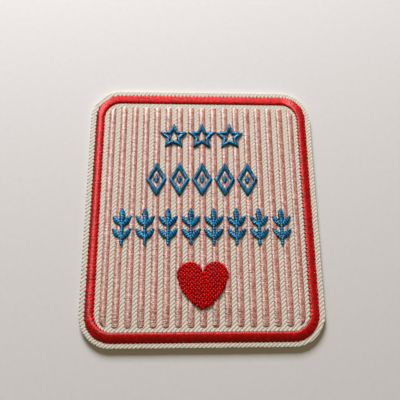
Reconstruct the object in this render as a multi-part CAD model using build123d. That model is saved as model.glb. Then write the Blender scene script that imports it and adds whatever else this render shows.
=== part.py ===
from build123d import *
import math
import os

# Rounded rectangular embroidered patch, lying face up. Millimetres.
# The origin is on the underside, at the middle; +Y is the patch's top edge, +Z its face.

# Ground cloth
patch_width = 67.6
patch_height = 75.8
cloth_thickness = 1.2
cut_edge_bevel = 0.15

# Satin border, a raised band stitched inside the cut edge
margin = 1.6
border_width = 2.5
border_height = 0.4
border_side = 0.1
border_radius = 7.4

# Satin stripes, as many as the field inside the border holds
stripe_width = 1.95
stripe_pitch = 3.41
stripe_height = 0.34
stripe_side = 0.08
stripe_inset = 1.35
stripe_corner_radius = 2.6

# Every stitched piece keeps this distance from what it is sewn over
thread_gap = 0.05

# Figures, stitched over the stripes: their thickness above the stripes' crowns
figure_cover = 0.3
figure_bevel = 0.2

# Outlined stars
star_radius = 3.2
star_waist = 1.6
star_tips = 5
star_stroke = 1.0
star_gap = 0.3
star_row_inset = 16.0

# Outlined lozenges, each with a small filled lozenge inside
lozenge_width = 6.2
lozenge_height = 10.4
lozenge_stroke = 1.1
lozenge_gap = 0.55
lozenge_row_inset = 12.6
seed_width = 1.5
seed_height = 3.0

# Leaf sprigs: a stem with leaves in pairs and one leaf on top
sprig_height = 10.4
sprig_stem_width = 0.95
sprig_leaf_length = 3.9
sprig_leaf_width = 1.7
sprig_leaf_angle = 42.0
sprig_leaf_pairs = 2
sprig_leaf_tuck = 0.9
sprig_pair_share = 0.4
sprig_gap = 1.35
sprig_row_inset = 4.0

# Heart
heart_width = 14.4
heart_height = 13.3
heart_notch = 2.8
heart_side_turn = 15.0
heart_cover = 0.3

# How the field's free height is shared out, from the top edge down
free_height_shares = {
    "above_stars": 0.26,
    "above_lozenges": 0.19,
    "above_sprigs": 0.14,
    "above_heart": 0.19,
    "below_heart": 0.22,
}

# Places that follow from the sizes
border_outer_width = patch_width - 2 * margin
border_outer_height = patch_height - 2 * margin
field_width = border_outer_width - 2 * border_width
field_height = border_outer_height - 2 * border_width
seat = cloth_thickness + thread_gap
stripe_crown = seat + stripe_height
figure_top = stripe_crown + thread_gap + figure_cover
heart_top = stripe_crown + thread_gap + heart_cover
heart_lobe_radius = heart_width / 2 + heart_notch - math.sqrt(heart_width * heart_notch)


def rounded_panel(width, height, radius, thickness):
    """A flat rounded rectangle, its underside at z 0."""
    return extrude(RectangleRounded(width, height, radius), amount=thickness)


def dome_section(width, height, side):
    """A satin column's section in the XZ plane: flat below, low sides, one arc on top."""
    half = width / 2
    crown = ThreePointArc((-half, side), (0, height), (half, side))
    outline = Polyline((half, side), (half, 0), (-half, 0), (-half, side))
    return make_face(crown + outline)


def ground_cloth():
    """The cloth panel that everything is sewn on, its cut edge slightly bevelled."""
    panel = rounded_panel(patch_width, patch_height, border_radius + margin, cloth_thickness)
    return chamfer(panel.faces().sort_by(Axis.Z)[-1].edges(), cut_edge_bevel)


def satin_border():
    """The border: a domed section carried round a rounded rectangle."""
    path = RectangleRounded(
        border_outer_width - border_width,
        border_outer_height - border_width,
        border_radius - border_width / 2,
    ).wire()
    along = path % 0
    across = Plane(origin=path @ 0, x_dir=Vector(0, 0, 1).cross(along), z_dir=along)
    section = across * dome_section(border_width, border_height, border_side)
    return Pos(0, 0, seat) * sweep(section, path=path)


def stripe_count():
    """As many stripes as fit between the border's inner sides."""
    room = field_width - 2 * stripe_inset - stripe_width
    return int(room / stripe_pitch) + 1


def stripe_places():
    """The stripes' middle lines, spread evenly about the patch's middle."""
    count = stripe_count()
    return [(n - (count - 1) / 2) * stripe_pitch for n in range(count)]


def stripe(x, grow=0.0):
    """One satin stripe, its ends cut to the border's rounded corners. grow makes it larger all round."""
    section = dome_section(stripe_width + 2 * grow, stripe_height + grow, stripe_side + grow)
    long_side = field_height - 2 * stripe_inset
    column = extrude(Plane.XZ * section, amount=long_side / 2 + grow, both=True)
    ends = rounded_panel(
        field_width - 2 * stripe_inset + 2 * grow,
        long_side + 2 * grow,
        stripe_corner_radius + grow,
        stripe_height + 2 * grow,
    )
    return Pos(0, 0, seat) * (Pos(x, 0, 0) * column & ends)


def raised(outline, top):
    """One stitched outline, raised from the cloth to top, with its upper edges bevelled."""
    upright = top - figure_bevel - seat
    pad = extrude(outline, amount=upright)
    crown = extrude(outline, amount=figure_bevel, taper=45)
    return Pos(0, 0, seat) * (pad + Pos(0, 0, upright) * crown)


def sewn_over_stripes(outlines, top):
    """A stitched figure: its outlines raised and fused, and hollowed below to clear the stripes."""
    figure = raised(outlines[0], top)
    for outline in outlines[1:]:
        figure = figure + raised(outline, top)
    box = figure.bounding_box()
    reach = stripe_width / 2 + thread_gap
    for x in stripe_places():
        if box.min.X - reach < x < box.max.X + reach:
            figure = figure - stripe(x, grow=thread_gap)
    return figure


def parallel_outline(points, offset):
    """A closed outline, listed anticlockwise, moved outwards by offset with its corners kept sharp."""
    moved = []
    for before, point, after in zip(points[-1:] + points[:-1], points, points[1:] + points[:1]):
        into = (point - before).normalized()
        out = (after - point).normalized()
        normal_in = Vector(into.Y, -into.X)
        normal_out = Vector(out.Y, -out.X)
        moved.append(point + (normal_in + normal_out) * (offset / (1 + normal_in.dot(normal_out))))
    return moved


def stroked(points, stroke):
    """A band of the given width that follows a closed outline."""
    outer = Polygon(*parallel_outline(points, stroke / 2), align=None)
    inner = Polygon(*parallel_outline(points, -stroke / 2), align=None)
    return outer - inner


def star_points():
    """The middle line of a star's outline, from the top tip."""
    points = []
    for n in range(2 * star_tips):
        radius = star_radius if n % 2 == 0 else star_waist
        angle = math.pi / 2 + n * math.pi / star_tips
        points.append(Vector(radius * math.cos(angle), radius * math.sin(angle)))
    return points


def star():
    return stroked(star_points(), star_stroke)


def star_box():
    """A star outline's width and height, and how far its box's middle lies above its centre."""
    box = star().bounding_box()
    return box.size.X, box.size.Y, (box.max.Y + box.min.Y) / 2


def lozenge_points(width, height):
    """A lozenge's corners, anticlockwise from the right."""
    return [Vector(width / 2, 0), Vector(0, height / 2), Vector(-width / 2, 0), Vector(0, -height / 2)]


def lozenge_frame():
    """The lozenge's band, whose outer corners lie on its stated width and height."""
    outer = lozenge_points(lozenge_width, lozenge_height)
    return stroked(parallel_outline(outer, -lozenge_stroke / 2), lozenge_stroke)


def lozenge_seed():
    return Polygon(*lozenge_points(seed_width, seed_height), align=None)


def leaf(length, width):
    """A lens of two arcs, from its foot at the origin up to its tip."""
    right = ThreePointArc((0, 0), (width / 2, length / 2), (0, length))
    left = ThreePointArc((0, length), (-width / 2, length / 2), (0, 0))
    return make_face(right + left)


def sprig():
    """The outlines of a stem, slanted leaves in pairs and one leaf on top, its middle at the origin."""
    blade = leaf(sprig_leaf_length, sprig_leaf_width)
    top_leaf_foot = sprig_height / 2 - sprig_leaf_length
    stem_foot = -sprig_height / 2
    stem_length = top_leaf_foot + sprig_leaf_tuck - stem_foot
    outlines = [
        Pos(0, stem_foot + stem_length / 2) * Rectangle(sprig_stem_width, stem_length),
        Pos(0, top_leaf_foot) * blade,
    ]
    for n in range(sprig_leaf_pairs):
        y = stem_foot + stem_length * (n + sprig_pair_share) / sprig_leaf_pairs
        outlines += [Pos(0, y) * Rot(0, 0, side * sprig_leaf_angle) * blade for side in (-1, 1)]
    return outlines


def sprig_width():
    """From one slanted leaf's side to the other's."""
    boxes = [outline.bounding_box() for outline in sprig()]
    return max(box.max.X for box in boxes) - min(box.min.X for box in boxes)


def heart():
    """Two round lobes that meet in a notch, and bowed sides down to the tip, its middle at the origin."""
    lobe_x = heart_width / 2 - heart_lobe_radius
    lobe_y = heart_height / 2 - heart_lobe_radius
    notch = (0, heart_height / 2 - heart_notch)
    tip = (0, -heart_height / 2)
    turn = math.radians(heart_side_turn)
    outline = []
    for side in (-1, 1):
        crown = (side * lobe_x, heart_height / 2)
        touch = (
            side * (lobe_x + heart_lobe_radius * math.cos(turn)),
            lobe_y - heart_lobe_radius * math.sin(turn),
        )
        outline.append(ThreePointArc(notch, crown, touch))
        outline.append(TangentArc(touch, tip, tangent=(-side * math.sin(turn), -math.cos(turn))))
    return make_face(outline)


def row_places(item_width, gap, inset):
    """The middle lines of as many items as fit in a row that stays inset from the border."""
    room = field_width - 2 * inset
    count = max(1, int((room + gap) / (item_width + gap)))
    return [(n - (count - 1) / 2) * (item_width + gap) for n in range(count)]


def row_heights():
    """Each row's middle height, from the free height's shares."""
    rows = [
        ("stars", star_box()[1]),
        ("lozenges", lozenge_height),
        ("sprigs", sprig_height),
        ("heart", heart_height),
    ]
    free = field_height - sum(height for _, height in rows)
    y = field_height / 2
    places = {}
    for name, height in rows:
        y -= free * free_height_shares["above_" + name] + height / 2
        places[name] = y
        y -= height / 2
    return places


def build():
    """Every piece by its name."""
    rows = row_heights()
    pieces = {"ground_cloth": ground_cloth(), "satin_border": satin_border()}
    for n, x in enumerate(stripe_places(), 1):
        pieces[f"stripe_{n:02d}"] = stripe(x)
    star_width, _, star_rise = star_box()
    for n, x in enumerate(row_places(star_width, star_gap, star_row_inset), 1):
        outline = Pos(x, rows["stars"] - star_rise) * star()
        pieces[f"star_{n}"] = sewn_over_stripes([outline], figure_top)
    for n, x in enumerate(row_places(lozenge_width, lozenge_gap, lozenge_row_inset), 1):
        place = Pos(x, rows["lozenges"])
        pieces[f"lozenge_{n}"] = sewn_over_stripes([place * lozenge_frame()], figure_top)
        pieces[f"lozenge_seed_{n}"] = sewn_over_stripes([place * lozenge_seed()], figure_top)
    for n, x in enumerate(row_places(sprig_width(), sprig_gap, sprig_row_inset), 1):
        place = Pos(x, rows["sprigs"])
        pieces[f"sprig_{n}"] = sewn_over_stripes([place * outline for outline in sprig()], figure_top)
    pieces["heart"] = sewn_over_stripes([Pos(0, rows["heart"]) * heart()], heart_top)
    return pieces


os.makedirs("parts", exist_ok=True)
for name, piece in build().items():
    export_step(piece, f"parts/{name}.step")
    print(name, len(piece.solids()), round(piece.volume, 3))
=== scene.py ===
import math

import bpy
import numpy as np
from mathutils import Matrix, Vector


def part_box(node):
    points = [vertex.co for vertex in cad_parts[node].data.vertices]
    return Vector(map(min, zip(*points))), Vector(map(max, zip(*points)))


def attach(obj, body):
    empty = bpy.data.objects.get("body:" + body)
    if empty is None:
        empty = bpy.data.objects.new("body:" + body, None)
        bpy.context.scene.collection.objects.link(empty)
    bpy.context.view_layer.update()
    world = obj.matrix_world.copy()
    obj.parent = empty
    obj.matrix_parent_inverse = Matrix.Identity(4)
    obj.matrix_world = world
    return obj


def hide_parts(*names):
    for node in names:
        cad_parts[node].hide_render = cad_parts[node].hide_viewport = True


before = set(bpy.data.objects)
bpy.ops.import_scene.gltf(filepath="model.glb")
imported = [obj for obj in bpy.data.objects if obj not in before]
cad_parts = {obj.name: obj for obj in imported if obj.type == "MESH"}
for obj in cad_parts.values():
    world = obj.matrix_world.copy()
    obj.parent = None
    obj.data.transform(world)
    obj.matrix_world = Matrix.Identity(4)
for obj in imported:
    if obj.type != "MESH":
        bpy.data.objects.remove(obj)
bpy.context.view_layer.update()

# Looks of an embroidered patch. Lengths are in millimetres until a mesh is made, which is in metres.
MM = 0.001
UP = np.array([0.0, 0.0, 1.0])


def node_box(node):
    """A CAD node's lowest and highest corner."""
    low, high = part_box(node)
    return np.array(low) / MM, np.array(high) / MM


def node_names(start):
    """The frame's nodes of one kind, in order."""
    return sorted(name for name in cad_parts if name.startswith(start))


_, cloth_high = node_box("ground_cloth")
_, border_high = node_box("satin_border")
cloth_top = cloth_high[2]
cloth_half = cloth_high[:2]
border_half = border_high[:2]

# Band and corners of the border, and the cloth outside it
border_width = 2.5
border_radius = 7.4
margin = cloth_half[0] - border_half[0]
cloth_radius = border_radius + margin

# Corners that the stripes' ends follow
stripe_corner_radius = 2.6

# Twill: ribs that climb to the right, made of warp floats that step up from yarn to yarn
rib_angle = math.radians(43.0)
rib_pitch = 0.80
warp_pitch = 0.29

# The floats: rows each way from the middle, half sizes, and how they dip to their tips
float_rows = 130
float_length = 1.16
float_lean = math.radians(20.0)
float_wide = 0.16
float_deep = 0.055
float_tip = 0.6
float_bed = 0.6
float_dip = 0.8
float_around = 4

# How much the floats vary in place, lean and size
float_x_jitter = 0.012
float_y_jitter = 0.025
float_z_jitter = 0.006
float_lean_jitter = 0.04
float_length_jitter = 0.03
float_size_jitter = 0.04

# The grooves between the floats, and the flatter twill near the cut edge
groove_depth = 0.055
pressed_margin = 0.6
pressed_reach = 2.5
edge_inset = 0.10

# How much an edge has to cross the ribs before they show in it, and the span over which they show more
crossing_low = 0.1
crossing_span = 0.5

# How far the floats run under the stripes, the border and the margin's inner edge, and past the cut edge
hidden_side = 0.22
hidden_end = 0.4
field_tuck = 0.35
margin_tuck = 0.05
margin_overrun = 0.25

# The panel's cut edge: its step along the outline, how ragged it is, and its rings below and on the face
cut_step = 0.25
cut_ripple = 0.04
cut_wander = 0.04
cut_period = 9
back_shares = (0.05, 0.5, 0.9)
face_shares = (0.97, 0.9, 0.5, 0.05)

# Every satin thread: half its depth, its rings and their points, and how soft a column's sides are
satin_deep = 0.05
satin_stations = 8
satin_around = 4
column_softness = 0.75

# A thread's two ends: how deep and how far out they go, how much painted shade they get at the needle holes
# (more in the twill's grooves than on its ribs), and how they follow the ribs
sink = 0.12
foot_spread = 0.06
foot_reach = 8
foot_shade = 0.55
rib_shade = 0.7
groove_shade = 0.3
toe_lift = 0.35
toe_taper = 0.15
hole_jitter = 0.02
hole_bias = 0.6
zigzag_share = 0.10

# How a thread strays: in height, sideways, in size and in turn
wander = 0.003
wander_period = 5
knot_spread = 0.6
bunching = 0.01
sway_jitter = 0.02
size_jitter = 0.02
twist = 0.02
twist_length = 0.8
twist_jitter = 0.2

# The core below a column: its share of the width, its drop in thread depths, and its threads to a ring
core_width = 0.94
core_drop = 0.35
core_step = 2

# The border's threads, and its crown, edges and tone by side, with painted shade darkening the bottom side
border_pitch = 0.30
border_wide = 0.30
border_slant = -0.15
border_wider = 0.35
border_drop_top = 0.30
border_rise_bottom = 0.03
border_lean_top = 0.75
border_lean_bottom = 0.45
border_flat_top = 4.0
border_scallop = 0.05
border_side_scallop = 0.09
border_painted_shade_bottom = 3.6
border_strand_tint = 0.5

# The stripes' threads, and the way the stripes end: pairs give the bottom end first
stripe_thread_pitch = 0.31
stripe_wide = 0.27
stripe_foot_spread = 0.05
stripe_scallop = 0.03
stripe_zigzag = 0.6
stripe_end_fade = (5.0, 3.0)
stripe_end_drop = (0.6, 0.4)
stripe_end_bend = 1.2
stripe_end_round = 0.45
stripe_end_narrower = 0.45
stripe_thread_shortest = 0.5

# The stripes lie a little to the right of the middle, and a little further apart than the nodes
stripe_drift = 0.15
stripe_spread = 1.005

# The figures' threads
figure_pitch = 0.36
figure_wide = 0.22
figure_deep = 0.06
figure_slant = 0.35
figure_tint = 2.0
figure_fullness = 2.3
figure_softness = 0.55
figure_scallop = 0.06
figure_foot_spread = 0.03
figure_hollow = 0.16
figure_short_drop = 0.25
figure_short_span = 0.8
leaf_narrowest = 0.12
leaf_drop = 0.04
seed_narrowest = 0.15
seed_drop = 0.1

# Heart's fill: its stitches, their half sizes and form, and how they sink at the heart's edge
fill_pitch = 0.50
fill_stitch = 1.2
fill_wide = 0.26
fill_deep = 0.09
fill_stations = 6
fill_around = 6
fill_dip = 0.10
fill_taper = 0.6
fill_taper_bend = 2.5
fill_hollow = 0.05
fill_side_room = 0.2
fill_shortest = 0.5
fill_edge = 0.6
fill_edge_height = 0.02

# How much the fill's stitches vary
fill_bottom_jitter = 0.16
fill_top_jitter = 0.12
fill_start_jitter = 0.1
fill_hole_jitter = 0.12
fill_x_jitter = 0.03
fill_lean_jitter = 0.05
fill_z_jitter = 0.015
fill_size_jitter = 0.05

# The heart's outline, as in the frame
heart_notch = 2.8
heart_side_turn = math.radians(15.0)

# The heart's core: its place inside the fill, and its rounded upper edge
heart_core_columns = 61
heart_core_width = 0.985
heart_core_inset = 0.12
heart_core_thinnest = 0.3
heart_core_drop = 0.24
heart_core_shoulder = 0.2
heart_core_shoulder_inset = 0.04
heart_core_rim = 0.12

# Figures, as in the frame
star_radius = 3.2
star_waist = 1.6
star_tips = 5
star_stroke = 1.0
lozenge_stroke = 1.1
sprig_stem_width = 0.95
sprig_leaf_length = 3.9
sprig_leaf_width = 1.7
sprig_leaf_angle = math.radians(42.0)
sprig_leaf_pairs = 2
sprig_leaf_tuck = 0.9
sprig_pair_share = 0.4

# The random numbers' seed of each piece, or of the first of its kind
seed_of = {
    "panel": 5,
    "border": 11,
    "field": 21,
    "margin": 22,
    "upper_field": 23,
    "heart": 71,
    "stripe": 100,
    "star": 200,
    "lozenge": 300,
    "lozenge_seed": 400,
    "sprig": 500,
}


# Meshes from tubes

def unit(vectors):
    """Vectors scaled to length one."""
    return vectors / np.maximum(np.linalg.norm(vectors, axis=-1, keepdims=True), 1e-9)


def tube_part(rings, tone, material=0, loop=False, foot=0.0, ribbon=False):
    """Tubes from rings, shaped (tubes, rings along, points round, 3). A loop closes on itself, others have
    caps. foot is the painted shade of each ring at its needle hole, from 0 to 1. A ribbon has four points
    round: the edges along its two sides are sharp, so that its faces look as flat as they are."""
    count, along, around = rings.shape[:3]
    index = np.arange(count * along * around).reshape(count, along, around)
    near = index if loop else index[:, :-1]
    far = np.roll(index, -1, axis=1) if loop else index[:, 1:]
    quads = np.stack([near, np.roll(near, -1, axis=2), np.roll(far, -1, axis=2), far], axis=-1)
    middle = rings.mean(axis=2)
    steps = np.linalg.norm(np.diff(middle, axis=1, append=middle[:, :1] if loop else middle[:, -1:]), axis=-1)
    travelled = np.cumsum(steps, axis=1) - steps
    begin = travelled if loop else travelled[:, :-1]
    finish = begin + (steps if loop else steps[:, :-1])
    v = np.stack([begin, begin, finish, finish], axis=-1)[:, :, None, :].repeat(around, axis=2)
    k = np.arange(around)
    u = np.broadcast_to(np.stack([k, k + 1, k + 1, k], axis=-1) / around, v.shape)
    faces = [quads.reshape(-1, 4)]
    uvs = [np.stack([u, v], axis=-1).reshape(-1, 4, 2)]
    if not loop:
        for cap in (index[:, 0, ::-1], index[:, -1]):
            faces.append(cap)
            uvs.append(np.zeros(cap.shape + (2,)))
    points = rings.reshape(-1, 3)
    a, b, c = (points[faces[0][:, corner]] for corner in (0, 1, 2))
    if np.einsum("ij,ij->i", a - points.mean(axis=0), np.cross(b - a, c - a)).sum() < 0:
        faces = [face[:, ::-1] for face in faces]
        uvs = [uv[:, ::-1] for uv in uvs]
    tones = np.broadcast_to(np.asarray(tone, float).reshape(-1, 1), (count, along * around)).ravel()
    feet = np.broadcast_to(np.broadcast_to(foot, (count, along))[..., None], (count, along, around)).ravel()
    sides = ribbon & (np.arange(len(points)) % 2 == 0)
    return {"points": points, "faces": faces, "uvs": uvs, "tone": tones, "foot": feet, "sides": sides,
            "material": material}


def make_piece(name, parts, materials):
    """One smooth mesh object from parts, with a thread UV map and each point's tone and foot values: foot is
    painted shade at the needle holes, and the tone of the border's bottom side holds painted shade too.
    """
    mesh = bpy.data.meshes.new(name)
    corners, sizes, uvs, which = [], [], [], []
    offset = 0
    for part in parts:
        for face, uv in zip(part["faces"], part["uvs"]):
            corners.append((face + offset).ravel())
            sizes.append(np.full(len(face), face.shape[1]))
            uvs.append(uv.reshape(-1, 2))
            which.append(np.full(len(face), part["material"]))
        offset += len(part["points"])
    points = np.concatenate([part["points"] for part in parts]) * MM
    corners, sizes = np.concatenate(corners), np.concatenate(sizes)
    mesh.vertices.add(len(points))
    mesh.vertices.foreach_set("co", points.ravel())
    mesh.loops.add(len(corners))
    mesh.loops.foreach_set("vertex_index", corners.astype(np.int32))
    mesh.polygons.add(len(sizes))
    mesh.polygons.foreach_set("loop_start", (np.cumsum(sizes) - sizes).astype(np.int32))
    mesh.polygons.foreach_set("material_index", np.concatenate(which).astype(np.int32))
    mesh.polygons.foreach_set("use_smooth", np.ones(len(sizes), bool))
    mesh.update(calc_edges=True)
    edge_ends = np.zeros(2 * len(mesh.edges), np.int32)
    mesh.edges.foreach_get("vertices", edge_ends)
    on_side = np.concatenate([part["sides"] for part in parts])[edge_ends.reshape(-1, 2)].all(axis=1)
    sharp = mesh.attributes.new("sharp_edge", "BOOLEAN", "EDGE")
    sharp.data.foreach_set("value", on_side)
    layer = mesh.uv_layers.new(name="thread")
    layer.uv.foreach_set("vector", np.concatenate(uvs).ravel())
    for attribute in ("tone", "foot"):
        values = mesh.attributes.new(attribute, "FLOAT", "POINT")
        values.data.foreach_set("value", np.concatenate([part[attribute] for part in parts]))
    for material in materials:
        mesh.materials.append(material)
    mesh.validate()
    piece = bpy.data.objects.new(name, mesh)
    bpy.context.scene.collection.objects.link(piece)
    return piece


def thread_rings(path, wide, deep, around, roll=0.0):
    """Rings round each thread's path, (threads, points along, 3), lying flat: wide and deep are half sizes.
    roll turns each ring about the path."""
    heading = unit((path[:, -1] - path[:, 0]) * (1, 1, 0))
    side = np.cross(UP, heading)[:, None].repeat(path.shape[1], axis=1)
    ahead = unit(np.gradient(path, axis=1))
    lift = unit(np.cross(ahead, side))
    roll = np.broadcast_to(roll, path.shape[:2])[..., None]
    side, lift = side * np.cos(roll) + lift * np.sin(roll), lift * np.cos(roll) - side * np.sin(roll)
    angle = 2 * math.pi * np.arange(around) / around
    across = side[:, :, None] * (wide[:, :, None, None] * np.cos(angle)[:, None])
    upward = lift[:, :, None] * (deep[:, :, None, None] * np.sin(angle)[:, None])
    return path[:, :, None] + across + upward


def arch(starts, ends, crowns, stations, fullness, softness, lean):
    """Paths from starts over crowns to ends. A fullness above 2 flattens the crown, a softness above a half
    makes the sides less steep, and lean raises the half towards the ends and lowers the other."""
    turn = math.pi * np.arange(stations + 1) / stations
    place = -np.cos(turn)
    lean = np.broadcast_to(lean, len(starts))[:, None]
    fullness = np.broadcast_to(fullness, len(starts))[:, None]
    share = (place[:, None] + 1) / 2
    path = starts[:, None] * (1 - share) + ends[:, None] * share
    rise = (1 - np.abs(place) ** fullness) ** softness * (1 + lean * place)
    path[..., 2] += (crowns[:, None] - path[..., 2]) * rise
    return path


def smooth_noise(rng, count, period):
    """Noise along a column: a value each period threads, joined smoothly, about -1 to 1."""
    knots = rng.normal(0, knot_spread, int(count / period) + 3)
    place = np.arange(count) / period
    low = place.astype(int)
    part = place - low
    part = part * part * (3 - 2 * part)
    return knots[low] * (1 - part) + knots[low + 1] * part


# The twill's pattern and the heights that threads stand on

def rib_phase(x, y):
    """Ribs counted across the twill: whole numbers on their crests."""
    return (y * math.cos(rib_angle) - x * math.sin(rib_angle)) / rib_pitch


stripe_boxes = {name: node_box(name) for name in node_names("stripe")}
stripe_middles = np.array([(low[0] + high[0]) / 2 for low, high in stripe_boxes.values()])
stripe_middles = stripe_middles * stripe_spread + stripe_drift
whole_stripe_low, whole_stripe_high = stripe_boxes["stripe_09"]
stripe_half = (whole_stripe_high[0] - whole_stripe_low[0]) / 2
stripe_rise = whole_stripe_high[2] - cloth_top
stripe_end = whole_stripe_high[1]
field_half_x = max(high[0] for low, high in stripe_boxes.values()) + stripe_drift


def across_ribs(outward):
    """How much an edge runs across the ribs, from 0 to 1, by its outward directions."""
    crossing = np.abs(outward @ (math.cos(rib_angle), math.sin(rib_angle)))
    part = np.clip((crossing - crossing_low) / crossing_span, 0, 1)
    return part * part * (3 - 2 * part)


def stripe_share(x):
    """How high a stripe stands at x: 1 on its crown, 0 between stripes."""
    away = np.abs(np.asarray(x)[..., None] - stripe_middles).min(axis=-1) / stripe_half
    return np.sqrt(np.clip(1 - away**2, 0, 1))


def ground(x):
    """The height of the cloth or of the stripe on it."""
    return cloth_top + stripe_rise * stripe_share(x)


def satin(starts, ends, crowns, rng, feet, wide, scallop, fullness=2.0, deep=satin_deep, loop=False,
          spread=foot_spread, softness=column_softness, lean=0.0, tint=0.0):
    """A satin column: threads side by side from starts to ends, in plan, on a core of the same form."""
    count = len(starts)
    outward = unit(starts - ends)
    depth = scallop * across_ribs(outward)
    grooves = [
        np.clip(-np.cos(2 * math.pi * rib_phase(place[:, 0], place[:, 1])), 0, 1) for place in (starts, ends)
    ]
    pressed = [rng.normal(0, hole_jitter, count) + depth * (2 * groove - hole_bias) for groove in grooves]
    starts = np.column_stack([starts + outward * spread, feet(starts) - sink * (1 - toe_lift * grooves[0])])
    ends = np.column_stack([ends - outward * spread, feet(ends) - sink * (1 - toe_lift * grooves[1])])
    crowns = crowns + rng.normal(0, wander, count) + wander * smooth_noise(rng, count, wander_period)
    path = arch(starts, ends, crowns - deep, satin_stations, fullness, softness, lean)
    share = np.arange(satin_stations + 1) / satin_stations
    near_end = np.abs(np.cos(math.pi * share)) ** foot_reach
    first_half = share < 0.5
    slide = np.where(first_half, pressed[0][:, None], -pressed[1][:, None]) * near_end
    groove = np.where(first_half, grooves[0][:, None], grooves[1][:, None])
    # Painted shade at the needle holes, darker where an end meets a groove of the twill
    foot = near_end**foot_shade * (rib_shade + groove_shade * groove)
    path[..., :2] += outward[:, None] * slide[..., None]
    along = np.cross(UP, unit(ends - starts))
    sway = rng.normal(0, sway_jitter, count)[:, None] * np.sin(math.pi * share)
    laid = path + along[:, None] * (sway + rng.normal(0, bunching, count)[:, None])[..., None]
    plump = rng.normal(1, size_jitter, count)[:, None] * (1 - toe_taper * near_end)
    spans = np.linalg.norm(ends - starts, axis=1)[:, None]
    turns = spans / twist_length * share + rng.random(count)[:, None]
    roll = twist * (np.sin(2 * math.pi * turns) + twist_jitter * rng.normal(0, 1, count)[:, None])
    rings = thread_rings(laid, wide * plump, deep * plump, satin_around, roll)
    threads = tube_part(rings, rng.normal(0, 1, count) + tint, foot=foot)
    centre = path.mean(axis=1, keepdims=True) * (1, 1, 0)
    under = centre + (path - centre) * (core_width, core_width, 1) - UP * (core_drop * deep)
    kept = np.unique(np.append(np.arange(0, count, core_step), count - 1))
    core = tube_part(under[None, kept], 0.0, material=1, loop=loop)
    return [threads, core]


def zigzag(count):
    """Steps forwards and back in turn, so that neighbouring threads lean together at their needle holes."""
    return zigzag_share * (-1.0) ** np.arange(count)


def on_cloth(places):
    """The height that threads start from on the bare cloth."""
    return np.full(len(places), cloth_top)


def on_stripes(places):
    """The height that threads start from in the striped field."""
    return ground(places[:, 0])


def rounded_path(half, radius, s):
    """Points and outward normals at the distances s round a rounded rectangle, anticlockwise."""
    straights = [half[1] - radius, half[0] - radius] * 2
    arc = radius * math.pi / 2
    s = np.asarray(s) % rounded_length(half, radius)
    points = np.zeros((len(s), 2))
    normals = np.zeros((len(s), 2))
    begin = 0.0
    for quarter, straight in enumerate(straights):
        turn = quarter * math.pi / 2
        out = np.array([round(math.cos(turn)), round(math.sin(turn))])
        ahead = np.array([-out[1], out[0]])
        reach = half[quarter % 2] - radius
        run = s - begin
        here = (run >= 0) & (run < 2 * straight + arc)
        slide = np.clip(run[here], 0, 2 * straight) - straight
        angle = np.clip(run[here] - 2 * straight, 0, arc) / radius
        normal = out * np.cos(angle)[:, None] + ahead * np.sin(angle)[:, None]
        points[here] = out * reach + ahead * slide[:, None] + normal * radius
        normals[here] = normal
        begin += 2 * straight + arc
    return points, normals


def rounded_length(half, radius):
    """The way round a rounded rectangle."""
    return 4 * (half[0] + half[1] - 2 * radius) + 2 * math.pi * radius


# Pieces

def border_piece(materials):
    """The border: threads across a band that follows the rounded rectangle."""
    rng = np.random.default_rng(seed_of["border"])
    half = border_half - border_width / 2
    radius = border_radius - border_width / 2
    length = rounded_length(half, radius)
    count = 2 * round(length / border_pitch / 2)
    s = np.arange(count) * length / count
    step = zigzag(count) * border_pitch + border_slant / 2
    starts, out = rounded_path(half, radius, s + step)
    starts = starts + out * (border_width / 2 + border_wider * np.abs(out[:, 1:]))
    ends, out = rounded_path(half, radius, s - step)
    ends = ends - out * border_width / 2
    top, bottom = np.clip(out[:, 1], 0, 1), np.clip(-out[:, 1], 0, 1)
    crowns = border_high[2] - border_drop_top * top + border_rise_bottom * bottom
    lean = border_lean_top * top + border_lean_bottom * bottom
    # Painted shade: the bottom side's threads are darker
    tint = border_strand_tint * (-1.0) ** np.arange(count) - border_painted_shade_bottom * bottom
    scallop = border_scallop + border_side_scallop * np.abs(out[:, 0])
    parts = satin(starts, ends, crowns, rng, on_cloth, border_wide, scallop,
                  fullness=2.0 + border_flat_top * top, loop=True, lean=lean, tint=tint)
    piece = make_piece("border_threads", parts, materials)
    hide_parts("satin_border")
    return piece


def stripe_piece(name, seed, materials):
    """One satin stripe, its ends cut to the rounded corners."""
    rng = np.random.default_rng(seed)
    middle = stripe_middles[list(stripe_boxes).index(name)]
    y = np.arange(-stripe_end + stripe_thread_pitch / 2, stripe_end, stripe_thread_pitch)
    into_corner = np.clip(np.abs(y) - (stripe_end - stripe_corner_radius), 0, stripe_corner_radius)
    limit = field_half_x - stripe_corner_radius + np.sqrt(stripe_corner_radius**2 - into_corner**2)
    left = np.maximum(middle - stripe_half, -limit)
    right = np.minimum(middle + stripe_half, limit)
    tuck = 1 - np.clip((stripe_end - np.abs(y)) / stripe_end_round, 0, 1)
    narrower = stripe_end_narrower * (right - left) / 2 * (1 - np.sqrt(1 - tuck**2))
    left, right = left + narrower, right - narrower
    kept = right - left > stripe_thread_shortest
    y, left, right = y[kept], left[kept], right[kept]
    step = stripe_zigzag * zigzag(len(y)) * stripe_thread_pitch
    starts = np.column_stack([left, y + step])
    ends = np.column_stack([right, y - step])
    low_end = 1 - np.clip((stripe_end - np.abs(y)) / np.where(y < 0, *stripe_end_fade), 0, 1)
    drop = np.where(y < 0, *stripe_end_drop) * low_end**stripe_end_bend
    tall = ((right - left) / (2 * stripe_half)) ** 0.5 * (1 - drop)
    crowns = cloth_top + stripe_rise * tall
    parts = satin(starts, ends, crowns, rng, on_cloth, stripe_wide, stripe_scallop, spread=stripe_foot_spread)
    piece = make_piece(f"{name}_threads", parts, materials)
    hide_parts(name)
    return piece


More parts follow.
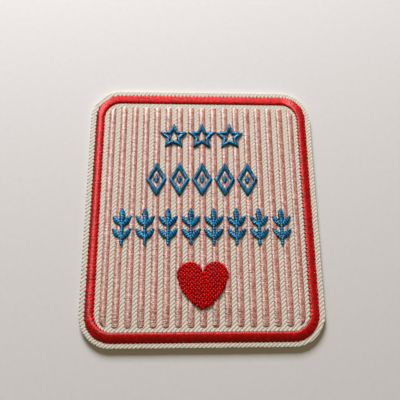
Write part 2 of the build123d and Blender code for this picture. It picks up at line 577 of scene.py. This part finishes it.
def moved_outline(points, distance):
    """A closed outline, listed anticlockwise, moved outwards with its corners kept sharp."""
    into = unit(points - np.roll(points, 1, axis=0))
    out = unit(np.roll(points, -1, axis=0) - points)
    normal_in = np.column_stack([into[:, 1], -into[:, 0]])
    normal_out = np.column_stack([out[:, 1], -out[:, 0]])
    meet = 1 + np.einsum("ij,ij->i", normal_in, normal_out)
    return points + (normal_in + normal_out) * (distance / meet)[:, None]


def band_stitches(points, stroke):
    """Starts and ends of threads across a band along a closed outline, turning through its mitred corners."""
    outer = moved_outline(points, stroke / 2)
    inner = moved_outline(points, -stroke / 2)
    starts, ends = [], []
    for k in range(len(points)):
        a, b = outer[k], outer[(k + 1) % len(points)]
        c, d = inner[k], inner[(k + 1) % len(points)]
        longest = max(np.linalg.norm(b - a), np.linalg.norm(d - c))
        count = 2 * math.ceil(longest / figure_pitch / 2)
        t = (np.arange(count) + 0.5) / count
        step = figure_slant / 2 / longest + zigzag(count) / count
        starts.append(a + (b - a) * np.clip(t + step, 0, 1)[:, None])
        ends.append(c + (d - c) * np.clip(t - step, 0, 1)[:, None])
    return np.concatenate(starts), np.concatenate(ends)


def lens_stitches(foot, angle, length, width):
    """Threads across a leaf: a lens of two arcs from its foot, turned from upright by angle."""
    radius = (length**2 / 4 + width**2 / 4) / width
    t = np.arange(figure_pitch / 2, length, figure_pitch)
    half = np.sqrt(radius**2 - (t - length / 2) ** 2) - (radius - width / 2)
    kept = half > leaf_narrowest
    t, half = t[kept], half[kept]
    step = figure_slant / 2 + zigzag(len(t)) * figure_pitch
    ahead = np.array([-math.sin(angle), math.cos(angle)])
    aside = np.array([ahead[1], -ahead[0]])
    starts = foot + ahead * (t + step)[:, None] - aside * half[:, None]
    ends = foot + ahead * (t - step)[:, None] + aside * half[:, None]
    return starts, ends


def figure_parts(starts, ends, top, rng, loop=False):
    """Satin over the stripes: lower between them, and lower where the threads are short."""
    middle = (starts + ends) / 2
    spans = np.linalg.norm(starts - ends, axis=1)
    hollow = figure_hollow * (1 - stripe_share(middle[:, 0]))
    short = figure_short_drop * np.clip(1 - spans / figure_short_span, 0, 1)
    tint = figure_tint * (-1.0) ** np.arange(len(starts))
    return satin(starts, ends, top - hollow - short, rng, on_stripes, figure_wide, figure_scallop,
                 fullness=figure_fullness, deep=figure_deep, loop=loop, spread=figure_foot_spread,
                 softness=figure_softness, tint=tint)


def star_piece(name, seed, materials):
    """An outlined star."""
    rng = np.random.default_rng(seed)
    low, high = node_box(name)
    points = []
    for n in range(2 * star_tips):
        radius = star_radius if n % 2 == 0 else star_waist
        angle = math.pi / 2 + n * math.pi / star_tips
        points.append((radius * math.cos(angle), radius * math.sin(angle)))
    outer = moved_outline(np.array(points), star_stroke / 2)
    centre = (low[:2] + high[:2] - outer.max(axis=0) - outer.min(axis=0)) / 2
    starts, ends = band_stitches(np.array(points) + centre, star_stroke)
    piece = make_piece(f"{name}_threads", figure_parts(starts, ends, high[2], rng, loop=True), materials)
    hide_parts(name)
    return piece


def lozenge_outline(low, high):
    """A lozenge's corners, anticlockwise from the right."""
    x, y = (low[:2] + high[:2]) / 2
    return np.array([(high[0], y), (x, high[1]), (low[0], y), (x, low[1])])


def lozenge_piece(name, seed, materials):
    """An outlined lozenge."""
    rng = np.random.default_rng(seed)
    low, high = node_box(name)
    middle_line = moved_outline(lozenge_outline(low, high), -lozenge_stroke / 2)
    starts, ends = band_stitches(middle_line, lozenge_stroke)
    piece = make_piece(f"{name}_threads", figure_parts(starts, ends, high[2], rng, loop=True), materials)
    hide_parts(name)
    return piece


def seed_piece(name, seed, top, materials):
    """The small filled lozenge."""
    rng = np.random.default_rng(seed)
    low, high = node_box(name)
    x, y = (low[:2] + high[:2]) / 2
    half_x, half_y = (high[:2] - low[:2]) / 2
    t = np.arange(-half_y + figure_pitch, half_y, figure_pitch)
    half = np.maximum(half_x * (1 - np.abs(t) / half_y), seed_narrowest)
    step = zigzag(len(t)) * figure_pitch
    starts = np.column_stack([x - half, y + t + step])
    ends = np.column_stack([x + half, y + t - step])
    piece = make_piece(f"{name}_threads", figure_parts(starts, ends, top, rng), materials)
    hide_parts(name)
    return piece


def sprig_piece(name, seed, materials):
    """A stem with slanted leaves in pairs and one on top."""
    rng = np.random.default_rng(seed)
    low, high = node_box(name)
    x = (low[0] + high[0]) / 2
    foot, top_leaf_foot = low[1], high[1] - sprig_leaf_length
    stem_length = top_leaf_foot + sprig_leaf_tuck - foot
    leaves = [(top_leaf_foot, 0.0)]
    for n in range(sprig_leaf_pairs):
        y = foot + stem_length * (n + sprig_pair_share) / sprig_leaf_pairs
        leaves += [(y, -sprig_leaf_angle), (y, sprig_leaf_angle)]
    parts = []
    for y, angle in leaves:
        starts, ends = lens_stitches(np.array([x, y]), angle, sprig_leaf_length, sprig_leaf_width)
        parts += figure_parts(starts, ends, high[2] - leaf_drop, rng)
    y = np.arange(foot + figure_pitch / 2, top_leaf_foot + sprig_leaf_tuck, figure_pitch)
    step = zigzag(len(y)) * figure_pitch
    starts = np.column_stack([np.full(len(y), x - sprig_stem_width / 2), y + step])
    ends = np.column_stack([np.full(len(y), x + sprig_stem_width / 2), y - step])
    parts += figure_parts(starts, ends, high[2], rng)
    piece = make_piece(f"{name}_threads", parts, materials)
    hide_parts(name)
    return piece


def heart_edges(x, low, high):
    """The heart's lower and upper edge at each x from its middle, with low and high its box."""
    width, height = high[:2] - low[:2]
    middle_y = (high[1] + low[1]) / 2
    lobe = width / 2 + heart_notch - math.sqrt(width * heart_notch)
    lobe_x, lobe_y = width / 2 - lobe, height / 2 - lobe
    across = np.abs(x)
    cap = np.sqrt(np.clip(lobe**2 - (across - lobe_x) ** 2, 0, None))
    touch = np.array([lobe_x + lobe * math.cos(heart_side_turn), lobe_y - lobe * math.sin(heart_side_turn)])
    normal = np.array([math.cos(heart_side_turn), -math.sin(heart_side_turn)])
    to_touch = touch - np.array([0.0, -height / 2])
    bow = to_touch @ to_touch / (2 * to_touch @ normal)
    centre = touch - normal * bow
    side = centre[1] - np.sqrt(np.clip(bow**2 - (across - centre[0]) ** 2, 0, None))
    lower = np.where(across > touch[0], lobe_y - cap, side)
    return middle_y + lower, middle_y + lobe_y + cap


def heart_core_part(x_middle, left, right, low, high):
    """The dark core between the fill stitches, its darkness painted shade in the gaps: a heart with a rounded
    upper edge.
    """
    x = np.linspace(left, right, heart_core_columns)
    lower, upper = heart_edges(x, low, high)
    upper = np.maximum(upper - heart_core_inset, lower + heart_core_thinnest)
    lower = lower + heart_core_inset
    core_top = high[2] - heart_core_drop
    shoulder = core_top - heart_core_shoulder
    outline = [
        (lower, cloth_top),
        (upper, cloth_top),
        (upper - heart_core_shoulder_inset, shoulder),
        (upper - heart_core_rim, core_top),
        (lower + heart_core_rim, core_top),
        (lower + heart_core_shoulder_inset, shoulder),
    ]
    rings = np.stack([np.column_stack([x_middle + x, y, np.full(len(x), z)]) for y, z in outline], axis=1)
    return tube_part(rings[None], 0.0, material=1)


def heart_piece(materials):
    """Fill stitches: upright threads in rows, each stitch half a length off its neighbours."""
    rng = np.random.default_rng(seed_of["heart"])
    low, high = node_box("heart")
    x_middle = (low[0] + high[0]) / 2
    count = int((high[0] - low[0] - fill_side_room) / fill_pitch) + 1
    offsets = (np.arange(count) - (count - 1) / 2) * fill_pitch
    lower, upper = heart_edges(offsets, low, high)
    place = np.linspace(-1, 1, fill_stations + 1)
    dip = np.abs(place) ** 4
    paths = []
    for n, x in enumerate(offsets):
        bottom = lower[n] + rng.normal(0, fill_bottom_jitter)
        top = upper[n] + rng.normal(0, fill_top_jitter)
        if top - bottom < fill_shortest:
            continue
        first = fill_stitch * (0.5 * (n % 2) + rng.normal(0, fill_start_jitter))
        holes = np.arange(first - fill_stitch + low[1], top, fill_stitch)
        holes = holes + rng.normal(0, fill_hole_jitter, len(holes))
        holes = holes[(holes > bottom + fill_shortest) & (holes < top - fill_shortest)]
        ends = np.concatenate([[bottom], holes, [top]])
        for a, b in zip(ends[:-1], ends[1:]):
            y = (a + b) / 2 + place * (b - a) / 2
            px = x_middle + x + rng.normal(0, fill_x_jitter) + rng.normal(0, fill_lean_jitter) * place
            from_edge = np.minimum(y - bottom, top - y)
            edge = np.sqrt(np.clip(1 - (1 - np.clip(from_edge / fill_edge, 0, 1)) ** 2, 0, 1))
            hollow = fill_hollow * (1 - stripe_share(px))
            z = high[2] - fill_deep - fill_dip * dip - hollow + rng.normal(0, fill_z_jitter)
            base = ground(px) - sink
            paths.append(np.column_stack([px, y, base + (z - base) * np.maximum(edge, fill_edge_height)]))
    path = np.array(paths)
    taper = 1 - fill_taper * np.abs(place) ** fill_taper_bend
    plump = rng.normal(1, fill_size_jitter, len(path))[:, None] * taper
    rings = thread_rings(path, fill_wide * plump, fill_deep * plump, fill_around)
    threads = tube_part(rings, rng.normal(0, 1, len(path)))
    core = heart_core_part(x_middle, offsets[0] * heart_core_width, offsets[-1] * heart_core_width, low, high)
    piece = make_piece("heart_threads", [threads, core], materials)
    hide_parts("heart")
    return piece


def inside_rounded(x, y, half, radius):
    """How far inside a rounded rectangle a point lies."""
    away = np.stack([np.abs(x) - (half[0] - radius), np.abs(y) - (half[1] - radius)])
    outside = np.linalg.norm(np.maximum(away, 0), axis=0)
    return radius - outside - np.minimum(away.max(axis=0), 0)


def field_shown(x, y):
    """True where the cloth shows inside the border, between the stripes."""
    away = np.abs(x[:, None] - stripe_middles).min(axis=1)
    hidden = (away < stripe_half - hidden_side) & (np.abs(y) < stripe_end - hidden_end)
    inside = inside_rounded(x, y, border_half - border_width, border_radius - border_width) > -field_tuck
    return inside & ~hidden


def lower_field_shown(x, y):
    """True where the cloth shows in the lower half of the field."""
    return field_shown(x, y) & (y <= 0)


def upper_field_shown(x, y):
    """True where the cloth shows in the upper half of the field."""
    return field_shown(x, y) & (y > 0)


def margin_shown(x, y):
    """True where the cloth shows outside the border."""
    in_cloth = inside_rounded(x, y, cloth_half, cloth_radius) > -margin_overrun
    return in_cloth & (inside_rounded(x, y, border_half, border_radius) < -margin_tuck)


def float_piece(name, shown, seed, materials):
    """The warp floats that show where shown(x, y) is true."""
    rng = np.random.default_rng(seed)
    columns = np.arange(-round(cloth_half[0] / warp_pitch), round(cloth_half[0] / warp_pitch) + 1)
    rise = rib_pitch / math.cos(rib_angle)
    rows = np.arange(-float_rows, float_rows + 1)
    x, row = np.meshgrid(columns * warp_pitch, rows, indexing="ij")
    y = row * rise + x * math.tan(rib_angle)
    x, y = x.ravel(), y.ravel()
    kept = shown(x, y)
    x, y = x[kept], y[kept]
    count = len(x)
    x = x + rng.normal(0, float_x_jitter, count)
    y = y + rng.normal(0, float_y_jitter, count)
    lean = float_lean + rng.normal(0, float_lean_jitter, count)
    ahead = np.column_stack([np.sin(lean), np.cos(lean), np.zeros(count)])
    place = np.array([-1.0, -0.5, 0.5, 1.0])
    half_length = float_length / 2 * rng.normal(1, float_length_jitter, count)
    middle = np.column_stack([x, y, np.zeros(count)])
    path = middle[:, None] + ahead[:, None] * (half_length[:, None] * place)[..., None]
    depth = inside_rounded(path[..., 0], path[..., 1], cloth_half, cloth_radius)
    whole = np.maximum(depth.max(axis=1) - edge_inset, 0)
    fits = np.clip(whole[:, None] / np.maximum(depth.max(axis=1)[:, None] - depth, 1e-6), 0, 1)
    deepest = path[np.arange(count), depth.argmax(axis=1)][:, None]
    path = deepest + (path - deepest) * fits[..., None]
    relief = np.clip(whole / pressed_reach, pressed_margin, 1)[:, None]
    drop = float_deep * float_dip * np.abs(place) ** 3
    uneven = rng.normal(0, float_z_jitter, count)[:, None]
    path[..., 2] = cloth_top - float_deep * float_bed - drop * relief + uneven
    tips = np.array([float_tip, 1.0, 1.0, float_tip])
    plump = rng.normal(1, float_size_jitter, count)[:, None] * tips
    rings = thread_rings(path, float_wide * plump, float_deep * plump * relief, float_around)
    return make_piece(name, [tube_part(rings, rng.normal(0, 1, count), ribbon=True)], materials)


def panel_piece(materials):
    """The cloth panel below the floats: flat back, cut edge that follows the twill, and a grooved face."""
    rng = np.random.default_rng(seed_of["panel"])
    length = rounded_length(cloth_half, cloth_radius)
    count = round(length / cut_step)
    s = np.arange(count) * length / count
    points, out = rounded_path(cloth_half, cloth_radius, s)
    ribs = across_ribs(out) * np.cos(2 * math.pi * rib_phase(points[:, 0], points[:, 1]))
    ragged = cut_ripple * ribs + cut_wander * smooth_noise(rng, count, cut_period)
    ragged = ragged - ragged[0] * np.clip(1 - np.minimum(s, length - s), 0, 1) * 0.5
    top = cloth_top - groove_depth
    height_and_inset = [
        (0.0, 0.02),
        (0.02, 0.0),
        (0.25, 0.0),
        (0.55, -0.03),
        (0.85, -0.02),
        (top - 0.02, 0.0),
        (top, 0.02),
        (top, 0.06),
    ]
    rings = [np.column_stack([points * share, np.zeros(count)]) for share in back_shares]
    for z, inset in height_and_inset:
        edge = points + out * (ragged - inset)[:, None]
        rings.append(np.column_stack([edge, np.full(count, z)]))
    rings += [np.column_stack([points * share, np.full(count, top)]) for share in face_shares]
    sheet = tube_part(np.array(rings)[None], 0.0)
    return make_piece("ground_cloth_panel", [sheet], materials)


# Materials

# Grains of noise a metre, and for the yarn along its own length
tone_grain = 1700.0
filament_grain = 1900.0
core_grain = 2500.0
felt_grain = 1800.0
floor_grain = 600.0
yarn_grain = 2.5

# How dark a core's dark places are
core_dark_share = 0.6


def linear(red, green, blue):
    """A colour given as it looks on a screen, 0 to 255, as the shader's linear one."""
    return tuple(
        ((c / 255 + 0.055) / 1.055) ** 2.4 if c > 10.31 else c / 255 / 12.92 for c in (red, green, blue)
    ) + (1.0,)


def shader_tree(name):
    """A new material with its nodes, its links and its shader."""
    material = bpy.data.materials.new(name)
    material.use_nodes = True
    nodes, links = material.node_tree.nodes, material.node_tree.links
    return material, nodes, links, nodes["Principled BSDF"]


def colour_mix(nodes, links, factor, first, second):
    """A mix of two colours, each a colour or a socket."""
    mix = nodes.new("ShaderNodeMix")
    mix.data_type = "RGBA"
    links.new(factor, mix.inputs["Factor"])
    for socket, colour in (("A", first), ("B", second)):
        target = next(i for i in mix.inputs if i.name == socket and i.type == "RGBA")
        if isinstance(colour, bpy.types.NodeSocket):
            links.new(colour, target)
        else:
            target.default_value = colour
    return next(o for o in mix.outputs if o.type == "RGBA")


def ranged(nodes, links, value, low, high, to_low=0.0, to_high=1.0):
    """value, from low to high, turned to a number from to_low to to_high."""
    node = nodes.new("ShaderNodeMapRange")
    links.new(value, node.inputs["Value"])
    for socket, number in (("From Min", low), ("From Max", high), ("To Min", to_low), ("To Max", to_high)):
        node.inputs[socket].default_value = number
    return node.outputs["Result"]


def noise(nodes, links, vector, scale, detail=2.0):
    """Soft noise over a place: scale counts its grains a metre, or a unit of the vector."""
    node = nodes.new("ShaderNodeTexNoise")
    node.inputs["Scale"].default_value = scale
    node.inputs["Detail"].default_value = detail
    links.new(vector, node.inputs["Vector"])
    return node.outputs["Fac"]


def thread_material(name, deep, light, shaded, roughness, metal, coat, coat_roughness, uneven,
                    gloss=(0.1, 1.0, 1.0), contrast=0.15, relief=0.12):
    """Shiny twisted thread: two tones, gloss across it, uneven filaments, and painted shade where it enters
    the cloth, from the shaded colour. uneven says how much the threads differ in tone, and gloss the specular
    level and its share of red and blue. contrast is the noise's reach about its middle that takes the tone
    from
    deep to light: a small one is strong. relief is the height of the filaments."""
    material, nodes, links, shader = shader_tree(name)
    tone = nodes.new("ShaderNodeAttribute")
    tone.attribute_name = "tone"
    place = nodes.new("ShaderNodeTexCoord").outputs["Object"]
    patchy = noise(nodes, links, place, tone_grain)
    both = nodes.new("ShaderNodeMath")
    both.operation = "MULTIPLY_ADD"
    links.new(tone.outputs["Fac"], both.inputs[0])
    both.inputs[1].default_value = uneven
    links.new(patchy, both.inputs[2])
    share = ranged(nodes, links, both.outputs[0], 0.5 - contrast, 0.5 + contrast)
    foot = nodes.new("ShaderNodeAttribute")
    foot.attribute_name = "foot"
    lit = colour_mix(nodes, links, share, deep, light)
    # The ends take the shaded colour as painted shade at their needle holes
    links.new(colour_mix(nodes, links, foot.outputs["Fac"], lit, shaded), shader.inputs["Base Color"])
    tangent = nodes.new("ShaderNodeTangent")
    tangent.direction_type = "UV_MAP"
    tangent.uv_map = "thread"
    links.new(tangent.outputs["Tangent"], shader.inputs["Tangent"])
    bump = nodes.new("ShaderNodeBump")
    bump.inputs["Strength"].default_value = 1.0
    bump.inputs["Distance"].default_value = relief * MM
    links.new(noise(nodes, links, place, filament_grain), bump.inputs["Height"])
    links.new(bump.outputs["Normal"], shader.inputs["Normal"])
    shader.inputs["Roughness"].default_value = roughness
    shader.inputs["Anisotropic"].default_value = 0.7
    shader.inputs["Specular IOR Level"].default_value = gloss[0]
    shader.inputs["Specular Tint"].default_value = (gloss[1], 1.0, gloss[2], 1.0)
    shader.inputs["Metallic"].default_value = metal
    shader.inputs["Coat Weight"].default_value = coat
    shader.inputs["Coat Roughness"].default_value = coat_roughness
    shader.inputs["Coat IOR"].default_value = 1.6
    return material


def core_material(name, colour):
    """The padding inside a column, coloured darker than its threads as painted shade where it shows between
    them, with the padding's own fine lines.
    """
    material, nodes, links, shader = shader_tree(name)
    place = nodes.new("ShaderNodeTexCoord").outputs["Object"]
    patchy = noise(nodes, links, place, core_grain)
    darker = tuple(c * core_dark_share for c in colour[:3]) + (1.0,)
    links.new(colour_mix(nodes, links, patchy, darker, colour), shader.inputs["Base Color"])
    bump = nodes.new("ShaderNodeBump")
    bump.inputs["Strength"].default_value = 0.5
    bump.inputs["Distance"].default_value = 0.05 * MM
    links.new(patchy, bump.inputs["Height"])
    links.new(bump.outputs["Normal"], shader.inputs["Normal"])
    shader.inputs["Roughness"].default_value = 0.8
    return material


def float_material():
    """Cream yarn of the twill: soft, slightly uneven from yarn to yarn."""
    material, nodes, links, shader = shader_tree("twill_yarn")
    tone = nodes.new("ShaderNodeAttribute")
    tone.attribute_name = "tone"
    share = ranged(nodes, links, tone.outputs["Fac"], -2.0, 2.0)
    yarn = colour_mix(nodes, links, share, linear(192, 183, 170), linear(208, 200, 188))
    links.new(yarn, shader.inputs["Base Color"])
    uv = nodes.new("ShaderNodeUVMap")
    uv.uv_map = "thread"
    fibre = nodes.new("ShaderNodeMapping")
    fibre.inputs["Scale"].default_value = (6.0, 3.0, 1.0)
    links.new(uv.outputs["UV"], fibre.inputs["Vector"])
    bump = nodes.new("ShaderNodeBump")
    bump.inputs["Strength"].default_value = 0.4
    bump.inputs["Distance"].default_value = 0.03 * MM
    links.new(noise(nodes, links, fibre.outputs["Vector"], yarn_grain), bump.inputs["Height"])
    links.new(bump.outputs["Normal"], shader.inputs["Normal"])
    shader.inputs["Roughness"].default_value = 0.7
    shader.inputs["Specular IOR Level"].default_value = 0.3
    shader.inputs["Sheen Weight"].default_value = 0.3
    shader.inputs["Sheen Roughness"].default_value = 0.5
    return material


def panel_material():
    """The cloth between the floats, and the bonded felt-like back."""
    material, nodes, links, shader = shader_tree("twill_ground")
    place = nodes.new("ShaderNodeTexCoord").outputs["Object"]
    felt = noise(nodes, links, place, felt_grain, 4.0)
    colour = colour_mix(nodes, links, felt, linear(208, 200, 182), linear(226, 219, 203))
    links.new(colour, shader.inputs["Base Color"])
    bump = nodes.new("ShaderNodeBump")
    bump.inputs["Strength"].default_value = 0.6
    bump.inputs["Distance"].default_value = 0.06 * MM
    links.new(felt, bump.inputs["Height"])
    links.new(bump.outputs["Normal"], shader.inputs["Normal"])
    shader.inputs["Roughness"].default_value = 0.85
    return material


def floor_material():
    """A pale table top with a very faint grain."""
    material, nodes, links, shader = shader_tree("pale_floor")
    place = nodes.new("ShaderNodeTexCoord").outputs["Object"]
    grain = noise(nodes, links, place, floor_grain, 3.0)
    colour = colour_mix(nodes, links, grain, linear(208, 205, 205), linear(214, 212, 213))
    links.new(colour, shader.inputs["Base Color"])
    shader.inputs["Roughness"].default_value = 0.8
    shader.inputs["Specular IOR Level"].default_value = 0.05
    return material


# Camera, floor and lights

def aim(thing, place, target):
    """Put a light at a place and turn it to a target."""
    thing.location = place
    thing.rotation_euler = (Vector(target) - Vector(place)).to_track_quat("-Z", "Y").to_euler()


def make_camera():
    """The photograph's camera, found from the border's outline: turns in degrees, offset in border half
    widths, focal length in pixels of the frame."""
    turns = (-13.78, 2.14, 0.34)
    offset = Vector((0.0204, -0.0901, -3.488))
    focal = 385.0
    frame_pixels = 400.0
    turned = (
        Matrix.Rotation(math.radians(turns[0]), 3, "X")
        @ Matrix.Rotation(math.radians(turns[1]), 3, "Y")
        @ Matrix.Rotation(math.radians(turns[2]), 3, "Z")
    )
    data = bpy.data.cameras.new("camera")
    data.sensor_fit = "HORIZONTAL"
    data.sensor_width = 36.0
    data.lens = data.sensor_width * focal / frame_pixels
    data.clip_start = 0.002
    data.clip_end = 20.0
    camera = bpy.data.objects.new("camera", data)
    bpy.context.scene.collection.objects.link(camera)
    place = -(turned.transposed() @ offset) * (border_half[0] * MM) + Vector((0, 0, cloth_top * MM))
    camera.matrix_world = Matrix.Translation(place) @ turned.transposed().to_4x4()
    bpy.context.scene.camera = camera


def make_floor():
    """A wide table top just below the patch, in metres."""
    reach = 1.5
    low = -0.00002
    corners = [(-reach, -reach, low), (reach, -reach, low), (reach, reach, low), (-reach, reach, low)]
    mesh = bpy.data.meshes.new("floor")
    mesh.from_pydata(corners, [], [(0, 1, 2, 3)])
    mesh.materials.append(floor_material())
    floor = bpy.data.objects.new("floor", mesh)
    bpy.context.scene.collection.objects.link(floor)


def area_light(name, place, target, size, power, colour):
    """A square soft light, its place and size in metres and its power in watts."""
    data = bpy.data.lights.new(name, "AREA")
    data.size = size
    data.energy = power
    data.color = colour
    light = bpy.data.objects.new(name, data)
    bpy.context.scene.collection.objects.link(light)
    aim(light, place, target)


def make_lights():
    """A soft key from behind on the left, and a warm surround that is a little brighter above."""
    area_light(
        "key",
        place=(-0.113, 0.530, 0.265),
        target=(0, 0, 0),
        size=0.20,
        power=7.0,
        colour=(0.95, 0.965, 1.0),
    )
    world = bpy.data.worlds.new("surround")
    world.use_nodes = True
    nodes, links = world.node_tree.nodes, world.node_tree.links
    background = nodes["Background"]
    split = nodes.new("ShaderNodeSeparateXYZ")
    links.new(nodes.new("ShaderNodeTexCoord").outputs["Generated"], split.inputs[0])
    height = ranged(nodes, links, split.outputs["Z"], 0.0, 1.0)
    colour = colour_mix(nodes, links, height, (0.70, 0.56, 0.32, 1.0), (1.16, 0.93, 0.53, 1.0))
    links.new(colour, background.inputs["Color"])
    background.inputs["Strength"].default_value = 0.21
    bpy.context.scene.world = world


make_camera()
make_floor()
make_lights()
bpy.context.scene.view_settings.view_transform = "Standard"

red = thread_material(
    "thread_red",
    deep=linear(156, 0, 2),
    light=linear(214, 3, 6),
    shaded=linear(136, 3, 3),
    roughness=0.50,
    metal=0.35,
    coat=0.40,
    coat_roughness=0.31,
    uneven=0.03,
    contrast=0.10,
    relief=0.14,
)
pink = thread_material(
    "thread_pink",
    deep=linear(176, 100, 84),
    light=linear(218, 166, 154),
    shaded=linear(150, 52, 42),
    roughness=0.36,
    metal=0.0,
    coat=0.58,
    coat_roughness=0.38,
    uneven=0.01,
    gloss=(1.0, 0.5, 1.0),
    contrast=0.12,
    relief=0.10,
)
blue = thread_material(
    "thread_blue",
    deep=linear(0, 44, 84),
    light=linear(28, 146, 192),
    shaded=linear(0, 16, 44),
    roughness=0.42,
    metal=0.3,
    coat=0.5,
    coat_roughness=0.28,
    uneven=0.07,
)
heart_red = thread_material(
    "fill_red",
    deep=linear(174, 0, 2),
    light=linear(214, 2, 4),
    shaded=linear(120, 2, 3),
    roughness=0.46,
    metal=0.25,
    coat=0.18,
    coat_roughness=0.34,
    uneven=0.06,
)
# The cores are darker than their threads: painted shade in the gaps between the threads
red_core = core_material("core_red", linear(140, 0, 3))
heart_core = core_material("core_heart", linear(112, 0, 3))
pink_core = core_material("core_pink", linear(190, 104, 92))
blue_core = core_material("core_blue", linear(3, 38, 66))
yarn = float_material()
ground_material = panel_material()


def keep(piece):
    """Put a piece on the part's one body."""
    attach(piece, "root")
    return piece


panel = keep(panel_piece([ground_material]))
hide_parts("ground_cloth")
field = keep(float_piece("twill_field", lower_field_shown, seed_of["field"], [yarn]))
upper_field = keep(
    float_piece("twill_field_upper", upper_field_shown, seed_of["upper_field"], [yarn]))
rim = keep(float_piece("twill_margin", margin_shown, seed_of["margin"], [yarn]))
keep(border_piece([red, red_core]))
for n, name in enumerate(stripe_boxes):
    keep(stripe_piece(name, seed_of["stripe"] + n, [pink, pink_core]))
for n, name in enumerate(node_names("star")):
    keep(star_piece(name, seed_of["star"] + n, [blue, blue_core]))
seed_nodes = node_names("lozenge_seed")
lozenge_nodes = [name for name in node_names("lozenge") if name not in seed_nodes]
for n, name in enumerate(lozenge_nodes):
    keep(lozenge_piece(name, seed_of["lozenge"] + n, [blue, blue_core]))
seed_top = node_box(lozenge_nodes[-1])[1][2] - seed_drop
for n, name in enumerate(seed_nodes):
    keep(seed_piece(name, seed_of["lozenge_seed"] + n, seed_top, [blue, blue_core]))
for n, name in enumerate(node_names("sprig")):
    keep(sprig_piece(name, seed_of["sprig"] + n, [blue, blue_core]))
keep(heart_piece([heart_red, heart_core]))
